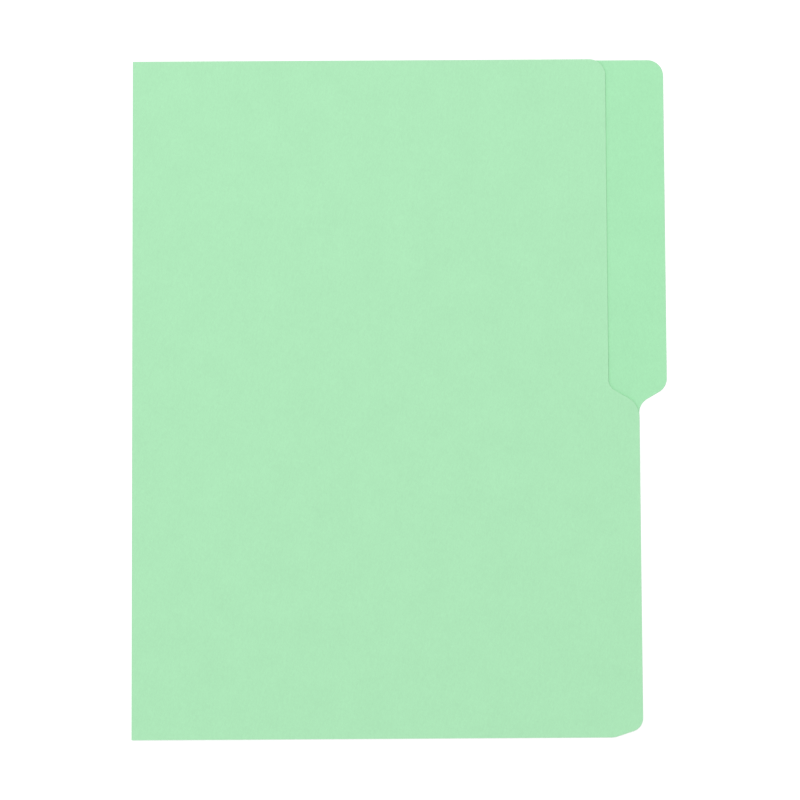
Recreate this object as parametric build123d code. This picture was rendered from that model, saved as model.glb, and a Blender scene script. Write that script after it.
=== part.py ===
from build123d import *
import math
import os

# A half-cut card folder, closed and lying flat, in millimetres
# x runs from the spine to the tab, y runs along the spine, z is up from the surface under it

# Cut outline of the closed folder
SPINE_LENGTH = 298.45
LEAF_DEPTH = 223.0
TAB_PROJECTION = 12.3
RECESS_DEPTH = 13.5

# Rounded corners beside the tab
TAB_CORNER_RADIUS = 7.0
RECESS_CORNER_RADIUS = 7.0

# Lower corner of both leaves, where the end of the leaf tapers before it turns up
TAPER_RUN = 12.5
TAPER_ANGLE = 18.0
TAPER_RADIUS = 7.0
LOWER_CORNER_RADIUS = 6.0

# Sloping step half way along each free edge, its angle taken from the run of the edge
# The foot is the end at the free edge, and the head the end at the tab or the recess
STEP_ANGLE = 60.0
TAB_FOOT_RADIUS = 7.0
TAB_HEAD_RADIUS = 7.0
RECESS_FOOT_RADIUS = 9.5
RECESS_HEAD_RADIUS = 5.5

# Card, and the clear height left between a score line and the front leaf
CARD_THICKNESS = 0.3
LEAF_CLEARANCE = 0.3

# Score lines where the back leaf can be creased for a thicker filling
# Each is a bead on the inside of the folder and a groove on the outside
SCORE_COUNT = 3
SCORE_PITCH = 6.35
BEAD_RADIUS = 0.2
GROOVE_RADIUS = 0.25
GROOVE_DEPTH_SHARE = 0.4

# Sizes and places that follow from those above
HALF_SPINE = SPINE_LENGTH / 2
LEAF_GAP = BEAD_RADIUS + LEAF_CLEARANCE
FOLD_RADIUS = CARD_THICKNESS + LEAF_GAP / 2
GROOVE_DEPTH = GROOVE_DEPTH_SHARE * CARD_THICKNESS
SPINE_X = -(LEAF_DEPTH + TAB_PROJECTION) / 2
FOLD_X = SPINE_X + FOLD_RADIUS
FREE_EDGE_X = SPINE_X + LEAF_DEPTH
TAB_EDGE_X = FREE_EDGE_X + TAB_PROJECTION
RECESS_EDGE_X = FREE_EDGE_X - RECESS_DEPTH
FRONT_LEAF_Z = CARD_THICKNESS + LEAF_GAP

os.makedirs("parts", exist_ok=True)


def leaf(upper_edge_x, foot_radius, head_radius, upper_corner_radius, underside_z):
    """A flat leaf from the spine fold to a free edge that steps at the middle of the spine."""
    taper_rise = TAPER_RUN * math.tan(math.radians(TAPER_ANGLE))
    half_step = abs(upper_edge_x - FREE_EDGE_X) / math.tan(math.radians(STEP_ANGLE)) / 2
    rounded_corners = [
        ((FREE_EDGE_X - TAPER_RUN, -HALF_SPINE), TAPER_RADIUS),
        ((FREE_EDGE_X, -HALF_SPINE + taper_rise), LOWER_CORNER_RADIUS),
        ((FREE_EDGE_X, -half_step), foot_radius),
        ((upper_edge_x, half_step), head_radius),
        ((upper_edge_x, HALF_SPINE), upper_corner_radius),
    ]
    spine_ends = [(FOLD_X, HALF_SPINE), (FOLD_X, -HALF_SPINE)]
    outline = [corner for corner, radius in rounded_corners] + spine_ends
    face = make_face(Polyline(*outline, close=True))
    for corner, radius in rounded_corners:
        face = fillet(face.vertices().sort_by_distance(corner)[0], radius)
    return Pos(0, 0, underside_z) * extrude(face, CARD_THICKNESS, dir=(0, 0, 1))


def along_spine(section):
    """A cross-section in x and z, carried over the whole length of the spine."""
    return extrude(Plane.XZ * section, HALF_SPINE, both=True)


def back_leaf():
    """The lower leaf: its tab stands out beyond the front leaf, and it carries the score lines."""
    card = leaf(TAB_EDGE_X, TAB_FOOT_RADIUS, TAB_HEAD_RADIUS, TAB_CORNER_RADIUS, 0)
    for line in range(1, SCORE_COUNT + 1):
        line_x = SPINE_X + line * SCORE_PITCH
        card += along_spine(Pos(line_x, CARD_THICKNESS) * Circle(BEAD_RADIUS))
        card -= along_spine(Pos(line_x, GROOVE_DEPTH - GROOVE_RADIUS) * Circle(GROOVE_RADIUS))
    return card


def spine_fold():
    """The round bend of card that joins the two leaves along the spine."""
    ring = Circle(FOLD_RADIUS) - Circle(LEAF_GAP / 2)
    spine_side = Pos(-FOLD_RADIUS, 0) * Rectangle(2 * FOLD_RADIUS, 2 * FOLD_RADIUS)
    return along_spine(Pos(FOLD_X, FOLD_RADIUS) * (ring & spine_side))


def front_leaf():
    """The upper leaf, cut back beside the tab so that the tab shows."""
    return leaf(
        RECESS_EDGE_X, RECESS_FOOT_RADIUS, RECESS_HEAD_RADIUS, RECESS_CORNER_RADIUS, FRONT_LEAF_Z
    )


pieces = {
    "back_leaf": back_leaf(),
    "spine_fold": spine_fold(),
    "front_leaf": front_leaf(),
}

for name, piece in pieces.items():
    piece.label = name
    export_step(piece, f"parts/{name}.step")
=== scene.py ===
import math

import bmesh
import bpy
import numpy as np
from mathutils import Matrix, Vector


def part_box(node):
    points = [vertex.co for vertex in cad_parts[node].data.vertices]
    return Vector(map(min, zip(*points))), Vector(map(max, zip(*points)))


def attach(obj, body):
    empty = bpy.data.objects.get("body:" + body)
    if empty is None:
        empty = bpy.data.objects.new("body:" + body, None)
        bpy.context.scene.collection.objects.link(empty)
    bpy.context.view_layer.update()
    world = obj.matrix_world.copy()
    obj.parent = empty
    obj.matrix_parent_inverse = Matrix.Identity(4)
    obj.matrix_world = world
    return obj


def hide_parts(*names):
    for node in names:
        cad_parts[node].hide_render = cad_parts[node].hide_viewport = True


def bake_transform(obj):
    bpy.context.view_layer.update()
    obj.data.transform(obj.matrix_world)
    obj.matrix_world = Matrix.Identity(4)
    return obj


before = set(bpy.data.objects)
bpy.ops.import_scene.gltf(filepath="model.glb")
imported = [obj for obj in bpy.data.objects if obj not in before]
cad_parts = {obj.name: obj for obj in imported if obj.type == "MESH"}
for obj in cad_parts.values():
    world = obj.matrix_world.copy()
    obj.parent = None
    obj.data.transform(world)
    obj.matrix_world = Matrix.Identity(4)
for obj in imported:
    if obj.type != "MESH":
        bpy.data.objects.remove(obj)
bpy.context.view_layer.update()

# A half-cut folder of plain green card, closed and lying flat, in metres
# x runs from the spine to the tab, y runs along the spine, z is up
MM = 0.001
ACROSS = Vector((1, 0, 0))
ALONG = Vector((0, 1, 0))

# Places and sizes that the frame gives
BACK_LOW, BACK_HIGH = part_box("back_leaf")
FRONT_LOW, FRONT_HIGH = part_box("front_leaf")
FOLD_LOW, FOLD_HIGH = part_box("spine_fold")
HALF_SPINE = FRONT_HIGH.y
SPINE_X = FOLD_LOW.x
FOLD_X = FRONT_LOW.x
FREE_EDGE_X = FRONT_HIGH.x
TAB_EDGE_X = BACK_HIGH.x
CARD = FRONT_HIGH.z - FRONT_LOW.z
FOLD_RADIUS = (FOLD_HIGH.z - FOLD_LOW.z) / 2
BEAD_HEIGHT = BACK_HIGH.z - BACK_LOW.z - CARD

# Cut outline of the leaves
RECESS_DEPTH = 13.5 * MM
RECESS_EDGE_X = FREE_EDGE_X - RECESS_DEPTH
TAPER_RUN = 12.5 * MM
TAPER_ANGLE = math.radians(18)
TAPER_RADIUS = 7.0 * MM
LOWER_CORNER_RADIUS = 6.0 * MM
UPPER_CORNER_RADIUS = 7.0 * MM
STEP_ANGLE = math.radians(60)
TAB_FOOT_RADIUS = 7.0 * MM
TAB_HEAD_RADIUS = 7.0 * MM
RECESS_FOOT_RADIUS = 9.5 * MM
RECESS_HEAD_RADIUS = 5.5 * MM
FRONT_CORNER_RISE = 0.4 * MM

# Score lines on the back leaf
SCORE_COUNT = 3
SCORE_PITCH = 6.35 * MM
SCORE_HALF_WIDTH = 0.4 * MM
GROOVE_DEPTH_SHARE = 0.4
GROOVE_DEPTH = GROOVE_DEPTH_SHARE * CARD

# How the cut edges are eased, and how the edges and the fold are worn
EDGE_ROUND = 0.07 * MM
EDGE_SEGMENTS = 3
EDGE_PROFILE = 0.5
WEAR_REACH = 0.35 * MM
WEAR_BANDS = (0.25 * MM, 0.6 * MM)
CREASE_WEAR = 0.4

# How the leaves settle, lift and cockle a little
FRONT_SAG = 0.36 * MM
FRONT_EDGE_LIFT = 0.2 * MM
FRONT_COCKLE = 0.05 * MM
COCKLE_LENGTH = 190 * MM
TAB_LIFT = 0.12 * MM

# How far the fold's ends stop short of the leaves' ends, so that no faces coincide there
FOLD_END_GAP = 0.01 * MM

# Fineness of the meshes, and how close counts as the same place
ARC_STEP = math.radians(6)
GRID_STEP = 6 * MM
SCORE_SLICES = 12
FOLD_SLICES = 24
WELD = 0.001 * MM
SIDE_SLACK = 0.001

# Order of the card's materials on each piece
OUTSIDE, INSIDE, EDGE = range(3)

# Colour sockets of a mix node, which share their names with its other sockets
MIX_FIRST, MIX_SECOND, MIX_RESULT = 6, 7, 2

# Card colours, linear
OUTSIDE_TONE = (0.433, 0.825, 0.503)
INSIDE_TONE = (0.411, 0.833, 0.490)
EDGE_TONE = (0.44, 0.82, 0.51)
WORN_TONE = (0.55, 0.86, 0.60)

# Grain of the card: clouds of pulp, two runs of drawn-out fibre that cross, and a fine tooth
# The fibres' turns are in radians from the spine
CLOUD_SIZE = 14 * MM
CLOUD_DETAIL = 4
FIBRE_WIDTH = 0.4 * MM
FIBRE_DETAIL = 3
FIBRE_STRETCH = 5
FIBRE_TURN = 0.3
FIBRE_CURL = 0.8
CROSSING_STRETCH = 4
CROSSING_TURN = -0.9
TOOTH_SIZE = 0.15 * MM
TOOTH_DETAIL = 2

# The middle of a noise, where most of its values lie
NOISE_LOW = 0.3
NOISE_HIGH = 0.7

# How far the grain moves the colour, and how clouds and the two runs of fibre share it
TONE_SPREAD = 0.06
CLOUD_SHARE = 0.2
FIBRE_SHARE = 0.45
CROSSING_SHARE = 0.35

# How much of the worn tone a rubbed edge shows, from the hollows of the fibres to their tops
RUB_LEAST = 0.1
RUB_MOST = 0.5

# Depth of the relief on each surface, and how the fibres and the tooth share it
OUTSIDE_RELIEF = 0.020 * MM
INSIDE_RELIEF = 0.024 * MM
EDGE_RELIEF = 0.035 * MM
RELIEF_STRENGTH = 0.8
FIBRE_RELIEF_SHARE = 0.6
CROSSING_RELIEF_SHARE = 0.4
TOOTH_RELIEF_SHARE = 0.5

# Matt finish of each surface
OUTSIDE_ROUGHNESS = 0.82
INSIDE_ROUGHNESS = 0.86
EDGE_ROUGHNESS = 0.92
ROUGHNESS_SPREAD = 0.05
SPECULAR_LEVEL = 0.2

# Camera fitted to the photograph's outline, with its turns in degrees
CAMERA_PLACE = Vector((-4.91, -44.01, 830.2)) * MM
CAMERA_TURNS = ((2.937, "X"), (-0.341, "Y"), (-0.287, "Z"))
CAMERA_LENS = 85
CAMERA_SENSOR = 36

# Studio light, and the white floor under it
SKY_LIGHT = 0.716
KEY_PLACE = Vector((-0.4, 0.7, 1.67))
KEY_SIZE = 1.2
KEY_POWER = 11.4
FLOOR_SIZE = 12.0
FLOOR_DROP = 0.02 * MM
FLOOR_TONE = (0.6, 0.6, 0.6)
FLOOR_GLOW = 0.58


def smoothstep(value, low, high):
    """Runs from 0 at low to 1 at high, level at both ends."""
    share = np.clip((value - low) / (high - low), 0, 1)
    return share * share * (3 - 2 * share)


def rounded_corner(before, corner, after, radius):
    """Points of the arc that rounds a corner between its two neighbours."""
    to_before = (before - corner).normalized()
    to_after = (after - corner).normalized()
    half_angle = to_before.angle(to_after) / 2
    middle = (to_before + to_after).normalized()
    centre = corner + middle * (radius / math.sin(half_angle))
    sweep = math.pi - 2 * half_angle
    turn_way = 1 if to_before.x * to_after.y - to_before.y * to_after.x < 0 else -1
    steps = max(2, math.ceil(sweep / ARC_STEP))
    points = []
    for step in range(steps + 1):
        angle = turn_way * sweep * (step / steps - 0.5)
        points.append(centre + Matrix.Rotation(angle, 2) @ (-middle * radius))
    return points


def leaf_outline(upper_edge_x, foot_radius, head_radius, corner_rise):
    """The cut line of a leaf, from the lower end of the fold round to its upper end."""
    taper_rise = TAPER_RUN * math.tan(TAPER_ANGLE)
    half_step = abs(upper_edge_x - FREE_EDGE_X) / math.tan(STEP_ANGLE) / 2
    lower_end = Vector((FOLD_X, -HALF_SPINE))
    upper_end = Vector((FOLD_X, HALF_SPINE))
    corners = [
        (Vector((FREE_EDGE_X - TAPER_RUN, -HALF_SPINE)), TAPER_RADIUS),
        (Vector((FREE_EDGE_X, -HALF_SPINE + taper_rise)), LOWER_CORNER_RADIUS),
        (Vector((FREE_EDGE_X, -half_step)), foot_radius),
        (Vector((upper_edge_x, half_step)), head_radius),
        (Vector((upper_edge_x, HALF_SPINE + corner_rise)), UPPER_CORNER_RADIUS),
    ]
    places = [lower_end] + [corner for corner, radius in corners] + [upper_end]
    outline = [lower_end]
    for index, (corner, radius) in enumerate(corners):
        outline += rounded_corner(places[index], corner, places[index + 2], radius)
    outline.append(upper_end)
    return outline


def ease_edges(bm, edges):
    """Rounds cut edges a little, as handling leaves them."""
    bmesh.ops.bevel(
        bm,
        geom=edges,
        offset=EDGE_ROUND,
        offset_type="OFFSET",
        segments=EDGE_SEGMENTS,
        profile=EDGE_PROFILE,
        affect="EDGES",
    )


def card_slab(outline):
    """A flat slab of card with eased cut edges. The outline's last edge, at the fold, stays square."""
    bm = bmesh.new()
    lower = [bm.verts.new((x, y, 0)) for x, y in outline]
    upper = [bm.verts.new((x, y, CARD)) for x, y in outline]
    bm.faces.new(lower[::-1])
    bm.faces.new(upper)
    for index in range(len(outline)):
        after = (index + 1) % len(outline)
        bm.faces.new((lower[index], lower[after], upper[after], upper[index]))
    cut_edges = []
    for ring in (lower, upper):
        cut_edges += [bm.edges.get(pair) for pair in zip(ring, ring[1:])]
    ease_edges(bm, cut_edges)
    # The two largest faces are the sides of the card, and each band runs along their edges
    for band in WEAR_BANDS:
        sides = sorted(bm.faces, key=lambda face: face.calc_area())[-2:]
        bmesh.ops.inset_region(bm, faces=sides, thickness=band, use_even_offset=True)
    return bm


def slice_mesh(bm, axis, places):
    """Cuts the mesh along planes square to an axis."""
    for place in places:
        geometry = bm.verts[:] + bm.edges[:] + bm.faces[:]
        bmesh.ops.bisect_plane(bm, geom=geometry, plane_co=axis * place, plane_no=axis, dist=WELD)


def even_places(low, high, step):
    """Inner places that divide a length into steps of about one size."""
    count = max(1, round((high - low) / step))
    return [low + (high - low) * index / count for index in range(1, count)]


def score_lines():
    """Where the score lines run, from the fold outwards."""
    return [SPINE_X + line * SCORE_PITCH for line in range(1, SCORE_COUNT + 1)]


def score_rise(x):
    """Height of the pressed score lines, as a share of the full height."""
    rise = np.zeros_like(x)
    for line in score_lines():
        away = np.clip(np.abs(x - line) / SCORE_HALF_WIDTH, 0, 1)
        rise += (1 + np.cos(math.pi * away)) / 2
    return rise


def back_leaf_height(x, y, share):
    """Height of a point of the back leaf, with share 0 on its underside and 1 on its upper face."""
    pressed = score_rise(x) * (BEAD_HEIGHT * share + GROOVE_DEPTH * (1 - share))
    on_tab = smoothstep(x, RECESS_EDGE_X, TAB_EDGE_X) * smoothstep(y, 0, HALF_SPINE)
    return BACK_LOW.z + share * CARD + pressed + TAB_LIFT * on_tab


def front_leaf_height(x, y, share):
    """Height of a point of the front leaf, which settles on the back leaf towards its free edge.

    That edge lifts a little at the step and at the two corners.
    """
    depth = (x - FOLD_X) / (FREE_EDGE_X - FOLD_X)
    waves = np.sin(2 * math.pi * y / COCKLE_LENGTH) * np.sin(math.pi * depth)
    crests = ((1 + np.cos(2 * math.pi * y / HALF_SPINE)) / 2) ** 2
    settled = FRONT_EDGE_LIFT * crests * depth**4 - FRONT_SAG * depth**2
    return FRONT_LOW.z + share * CARD + settled + FRONT_COCKLE * waves


def distance_to_line(points, line):
    """Shortest distance from each point to a line of straight pieces, in x and y."""
    line = np.array([tuple(point) for point in line])
    nearest = np.full(len(points), np.inf)
    for start, end in zip(line, line[1:]):
        run = end - start
        along = np.clip((points - start) @ run / (run @ run), 0, 1)
        gap = np.linalg.norm(points - start - along[:, None] * run, axis=1)
        nearest = np.minimum(nearest, gap)
    return nearest


def vertex_places(bm):
    """Vertex coordinates as an array."""
    return np.array([tuple(vertex.co) for vertex in bm.verts])


def face_material(shares, upper_is_inside):
    """Which material a face takes: one of the two sides of the card, or its cut edge."""
    on_upper = min(shares) > 1 - SIDE_SLACK
    on_lower = max(shares) < SIDE_SLACK
    if not on_upper and not on_lower:
        return EDGE
    return INSIDE if on_upper == upper_is_inside else OUTSIDE


def card_piece(name, bm, places, share, sheet, wear, upper_is_inside):
    """Turns a sliced slab into a piece that keeps its place on the flat sheet and its wear."""
    for vertex, place in zip(bm.verts, places):
        vertex.co = place
    bm.verts.index_update()
    for face in bm.faces:
        shares = [share[vertex.index] for vertex in face.verts]
        face.smooth = True
        face.material_index = face_material(shares, upper_is_inside)
    bm.normal_update()
    bmesh.ops.recalc_face_normals(bm, faces=bm.faces)
    mesh = bpy.data.meshes.new(name)
    bm.to_mesh(mesh)
    bm.free()
    for material in CARD_MATERIALS:
        mesh.materials.append(material)
    mesh.attributes.new("sheet", "FLOAT_VECTOR", "POINT").data.foreach_set("vector", sheet.ravel())
    mesh.attributes.new("wear", "FLOAT", "POINT").data.foreach_set("value", wear)
    piece = bpy.data.objects.new(name, mesh)
    bpy.context.scene.collection.objects.link(piece)
    return piece


def square_off(bm, axis, place):
    """Keeps a flat end of a slab crisp, so that the shading beside it runs straight on."""
    for edge in bm.edges:
        if all(abs(axis.dot(vertex.co) - place) < WELD for vertex in edge.verts):
            edge.smooth = False


def leaf_piece(name, outline, columns, height, side):
    """A whole leaf. On the flat sheet, side is 1 for the back leaf and -1 for the front leaf."""
    bm = card_slab(outline)
    slice_mesh(bm, ACROSS, columns)
    slice_mesh(bm, ALONG, even_places(-HALF_SPINE, HALF_SPINE, GRID_STEP))
    square_off(bm, ACROSS, FOLD_X)
    flat = vertex_places(bm)
    x, y = flat[:, 0], flat[:, 1]
    share = flat[:, 2] / CARD
    places = np.stack([x, y, height(x, y, share)], axis=1)
    reach = math.pi * FOLD_RADIUS / 2
    sheet = np.stack([side * (x - FOLD_X + reach), y, flat[:, 2]], axis=1)
    wear = np.exp(-distance_to_line(flat[:, :2], outline) / WEAR_REACH)
    return card_piece(name, bm, places, share, sheet, wear, side > 0)


def back_leaf():
    """The lower leaf, with the tab and the score lines."""
    outline = leaf_outline(TAB_EDGE_X, TAB_FOOT_RADIUS, TAB_HEAD_RADIUS, 0)
    columns = even_places(FOLD_X, TAB_EDGE_X, GRID_STEP)
    for line in score_lines():
        low, high = line - SCORE_HALF_WIDTH, line + SCORE_HALF_WIDTH
        columns += [low, *even_places(low, high, (high - low) / SCORE_SLICES), high]
    piece = leaf_piece("back_leaf_card", outline, columns, back_leaf_height, 1)
    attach(piece, "back_leaf")
    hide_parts("back_leaf")


def front_leaf():
    """The upper leaf, cut back beside the tab."""
    outline = leaf_outline(RECESS_EDGE_X, RECESS_FOOT_RADIUS, RECESS_HEAD_RADIUS, FRONT_CORNER_RISE)
    columns = even_places(FOLD_X, FREE_EDGE_X, GRID_STEP)
    piece = leaf_piece("front_leaf_card", outline, columns, front_leaf_height, -1)
    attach(piece, "front_leaf")
    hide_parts("front_leaf")


def fold_slab():
    """The bend of card before it is rolled: a flat strip with eased ends, with x as its turn."""
    half_length = HALF_SPINE - FOLD_END_GAP
    bm = bmesh.new()
    bmesh.ops.create_cube(bm, size=1)
    bmesh.ops.scale(bm, verts=bm.verts, vec=(math.pi, 2 * half_length, CARD))
    bmesh.ops.translate(bm, verts=bm.verts, vec=(math.pi / 2, 0, CARD / 2))
    end_edges = [edge for edge in bm.edges if edge.verts[0].co.x != edge.verts[1].co.x]
    ease_edges(bm, end_edges)
    slice_mesh(bm, ACROSS, even_places(0, math.pi, math.pi / FOLD_SLICES))
    slice_mesh(bm, ALONG, even_places(-half_length, half_length, GRID_STEP))
    inset = EDGE_ROUND
    for band in WEAR_BANDS:
        inset += band
        slice_mesh(bm, ALONG, (inset - half_length, half_length - inset))
    for end in (0, math.pi):
        square_off(bm, ACROSS, end)
    return bm


def spine_fold():
    """The bend of card along the spine, rolled round from leaf to leaf."""
    bm = fold_slab()
    flat = vertex_places(bm)
    turn, y = flat[:, 0], flat[:, 1]
    share = flat[:, 2] / CARD
    radius = FOLD_RADIUS - flat[:, 2]
    x = FOLD_X - radius * np.sin(turn)
    z = FOLD_RADIUS - radius * np.cos(turn)
    reach = FOLD_RADIUS * (math.pi / 2 - turn)
    sheet = np.stack([reach, y, flat[:, 2]], axis=1)
    wear = np.exp(-(HALF_SPINE - np.abs(y)) / WEAR_REACH)
    wear = np.maximum(wear, CREASE_WEAR * np.sin(turn) * (1 - share))
    piece = card_piece("spine_fold_card", bm, np.stack([x, y, z], axis=1), share, sheet, wear, True)
    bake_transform(piece)
    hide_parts("spine_fold")


class Shading:
    """Short ways to add and join the nodes of a material or of the world."""

    def __init__(self, tree):
        self.nodes = tree.nodes
        self.links = tree.links
        self.nodes.clear()

    def add(self, kind, **settings):
        """A new node with its settings."""
        node = self.nodes.new(kind)
        for key, value in settings.items():
            setattr(node, key, value)
        return node

    def join(self, source, target):
        """Links an output socket to an input socket."""
        self.links.new(source, target)

    def noise(self, vector, size, detail, stretch=1, turn=0, curl=0):
        """A noise with features of about one size, which can be drawn out, turned and curled."""
        mapping = self.add("ShaderNodeMapping", vector_type="TEXTURE")
        mapping.inputs["Scale"].default_value = (1, stretch, 1)
        mapping.inputs["Rotation"].default_value = (0, 0, turn)
        self.join(vector, mapping.inputs["Vector"])
        texture = self.add("ShaderNodeTexNoise")
        texture.inputs["Scale"].default_value = 1 / size
        texture.inputs["Detail"].default_value = detail
        texture.inputs["Distortion"].default_value = curl
        self.join(mapping.outputs["Vector"], texture.inputs["Vector"])
        return texture.outputs["Fac"]

    def spread(self, value, low, high):
        """Maps the middle of a noise on to a range."""
        node = self.add("ShaderNodeMapRange")
        node.inputs["From Min"].default_value = NOISE_LOW
        node.inputs["From Max"].default_value = NOISE_HIGH
        node.inputs["To Min"].default_value = low
        node.inputs["To Max"].default_value = high
        self.join(value, node.inputs["Value"])
        return node.outputs["Result"]

    def combine(self, operation, first, second):
        """Works out one value from two, each a socket or a plain number."""
        node = self.add("ShaderNodeMath", operation=operation)
        for socket, value in zip(node.inputs, (first, second)):
            if isinstance(value, (int, float)):
                socket.default_value = value
            else:
                self.join(value, socket)
        return node.outputs["Value"]

    def mix(self, factor, first, second):
        """Mixes two colours, each a socket or a plain tone."""
        node = self.add("ShaderNodeMix", data_type="RGBA")
        self.join(factor, node.inputs["Factor"])
        for place, value in ((MIX_FIRST, first), (MIX_SECOND, second)):
            if isinstance(value, tuple):
                node.inputs[place].default_value = (*value, 1)
            else:
                self.join(value, node.inputs[place])
        return node.outputs[MIX_RESULT]

    def seen_directly(self):
        """1 for rays that show a surface or its image in something shiny, 0 for light on the object."""
        path = self.add("ShaderNodeLightPath")
        shiny = self.combine("ADD", path.outputs["Is Glossy Ray"], path.outputs["Is Transmission Ray"])
        seen = self.combine("ADD", path.outputs["Is Camera Ray"], shiny)
        return self.combine("MINIMUM", seen, 1)


def new_material(name):
    """An empty material and the means to fill it."""
    material = bpy.data.materials.new(name)
    material.use_nodes = True
    return material, Shading(material.node_tree)


def fibre_run(shade, sheet, stretch, turn):
    """Fibres that are drawn out and turned one way on the flat sheet."""
    return shade.noise(sheet, FIBRE_WIDTH, FIBRE_DETAIL, stretch, turn, FIBRE_CURL)


def card_colour(shade, tone, clouds, fibres, crossing, wear):
    """The tone of the card, varied by its pulp and fibres, and paler where it is rubbed."""
    deeper = tuple((1 - TONE_SPREAD) * channel for channel in tone)
    paler = tuple((1 + TONE_SPREAD) * channel for channel in tone)
    pulp = shade.combine("ADD", shade.spread(clouds, 0, CLOUD_SHARE), shade.spread(fibres, 0, FIBRE_SHARE))
    pulp = shade.combine("ADD", pulp, shade.spread(crossing, 0, CROSSING_SHARE))
    colour = shade.mix(pulp, deeper, paler)
    rubbed = shade.combine("MULTIPLY", wear, shade.spread(fibres, RUB_LEAST, RUB_MOST))
    return shade.mix(rubbed, colour, WORN_TONE)


def card_relief(shade, depth, fibres, crossing, tooth):
    """The fine relief that the fibres and the tooth give to the card."""
    fibre_height = shade.combine("MULTIPLY", fibres, FIBRE_RELIEF_SHARE)
    crossing_height = shade.combine("MULTIPLY", crossing, CROSSING_RELIEF_SHARE)
    tooth_height = shade.combine("MULTIPLY", tooth, TOOTH_RELIEF_SHARE)
    height = shade.combine("ADD", fibre_height, crossing_height)
    height = shade.combine("ADD", height, tooth_height)
    bump = shade.add("ShaderNodeBump")
    bump.inputs["Strength"].default_value = RELIEF_STRENGTH
    bump.inputs["Distance"].default_value = depth
    shade.join(height, bump.inputs["Height"])
    return bump.outputs["Normal"]


def card_material(name, tone, roughness, relief):
    """Matt uncoated card: cloudy pulp, drawn-out fibres, a fine tooth and paler rubbed edges."""
    material, shade = new_material(name)
    sheet = shade.add("ShaderNodeAttribute", attribute_name="sheet").outputs["Vector"]
    wear = shade.add("ShaderNodeAttribute", attribute_name="wear").outputs["Fac"]
    clouds = shade.noise(sheet, CLOUD_SIZE, CLOUD_DETAIL)
    fibres = fibre_run(shade, sheet, FIBRE_STRETCH, FIBRE_TURN)
    crossing = fibre_run(shade, sheet, CROSSING_STRETCH, CROSSING_TURN)
    tooth = shade.noise(sheet, TOOTH_SIZE, TOOTH_DETAIL)
    colour = card_colour(shade, tone, clouds, fibres, crossing, wear)
    normal = card_relief(shade, relief, fibres, crossing, tooth)
    matt = shade.spread(tooth, roughness - ROUGHNESS_SPREAD, roughness + ROUGHNESS_SPREAD)
    surface = shade.add("ShaderNodeBsdfPrincipled")
    surface.inputs["Specular IOR Level"].default_value = SPECULAR_LEVEL
    shade.join(colour, surface.inputs["Base Color"])
    shade.join(matt, surface.inputs["Roughness"])
    shade.join(normal, surface.inputs["Normal"])
    output = shade.add("ShaderNodeOutputMaterial")
    shade.join(surface.outputs["BSDF"], output.inputs["Surface"])
    return material


def floor_material():
    """White paint, with a glow that is seen but lights nothing."""
    material, shade = new_material("white_floor")
    paint = shade.add("ShaderNodeBsdfDiffuse")
    paint.inputs["Color"].default_value = (*FLOOR_TONE, 1)
    glow = shade.add("ShaderNodeEmission")
    strength = shade.combine("MULTIPLY", shade.seen_directly(), FLOOR_GLOW)
    shade.join(strength, glow.inputs["Strength"])
    both = shade.add("ShaderNodeAddShader")
    shade.join(paint.outputs["BSDF"], both.inputs[0])
    shade.join(glow.outputs["Emission"], both.inputs[1])
    output = shade.add("ShaderNodeOutputMaterial")
    shade.join(both.outputs["Shader"], output.inputs["Surface"])
    return material


def floor():
    """A white floor that takes the folder's shadow and fades into the backdrop."""
    bm = bmesh.new()
    bmesh.ops.create_grid(bm, x_segments=1, y_segments=1, size=FLOOR_SIZE / 2)
    bmesh.ops.translate(bm, verts=bm.verts, vec=(0, 0, -FLOOR_DROP))
    mesh = bpy.data.meshes.new("floor")
    bm.to_mesh(mesh)
    bm.free()
    mesh.materials.append(floor_material())
    plane = bpy.data.objects.new("floor", mesh)
    bpy.context.scene.collection.objects.link(plane)


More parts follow.
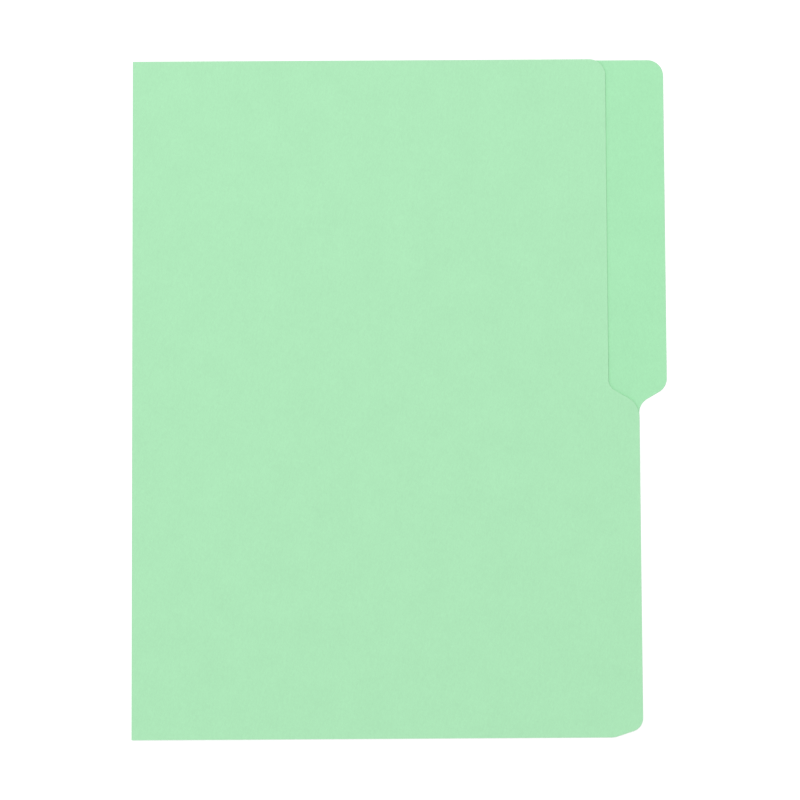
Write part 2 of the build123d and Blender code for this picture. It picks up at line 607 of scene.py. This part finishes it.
def sky():
    """Even light from all round, seen as a white backdrop."""
    world = bpy.data.worlds.new("studio")
    world.use_nodes = True
    bpy.context.scene.world = world
    shade = Shading(world.node_tree)
    light = shade.add("ShaderNodeBackground")
    light.inputs["Strength"].default_value = SKY_LIGHT
    backdrop = shade.add("ShaderNodeBackground")
    for background in (light, backdrop):
        background.inputs["Color"].default_value = (1, 1, 1, 1)
    either = shade.add("ShaderNodeMixShader")
    shade.join(shade.seen_directly(), either.inputs["Fac"])
    shade.join(light.outputs["Background"], either.inputs[1])
    shade.join(backdrop.outputs["Background"], either.inputs[2])
    output = shade.add("ShaderNodeOutputWorld")
    shade.join(either.outputs["Shader"], output.inputs["Surface"])


def key_lamp():
    """One large soft lamp above and beyond the upper left corner."""
    lamp = bpy.data.lights.new("key", "AREA")
    lamp.size = KEY_SIZE
    lamp.energy = KEY_POWER
    holder = bpy.data.objects.new("key", lamp)
    holder.location = KEY_PLACE
    holder.rotation_euler = (-KEY_PLACE).to_track_quat("-Z", "Y").to_euler()
    bpy.context.scene.collection.objects.link(holder)


def camera():
    """The photograph's view, almost straight down."""
    turn = Matrix.Identity(3)
    for angle, axis in CAMERA_TURNS:
        turn = turn @ Matrix.Rotation(math.radians(angle), 3, axis)
    data = bpy.data.cameras.new("camera")
    data.lens = CAMERA_LENS
    data.sensor_width = CAMERA_SENSOR
    holder = bpy.data.objects.new("camera", data)
    holder.matrix_world = Matrix.Translation(CAMERA_PLACE) @ turn.to_4x4()
    bpy.context.scene.collection.objects.link(holder)
    bpy.context.scene.camera = holder


CARD_MATERIALS = [
    card_material("card_outside", OUTSIDE_TONE, OUTSIDE_ROUGHNESS, OUTSIDE_RELIEF),
    card_material("card_inside", INSIDE_TONE, INSIDE_ROUGHNESS, INSIDE_RELIEF),
    card_material("card_edge", EDGE_TONE, EDGE_ROUGHNESS, EDGE_RELIEF),
]

back_leaf()
spine_fold()
front_leaf()
floor()
sky()
key_lamp()
camera()
bpy.context.scene.view_settings.view_transform = "Standard"
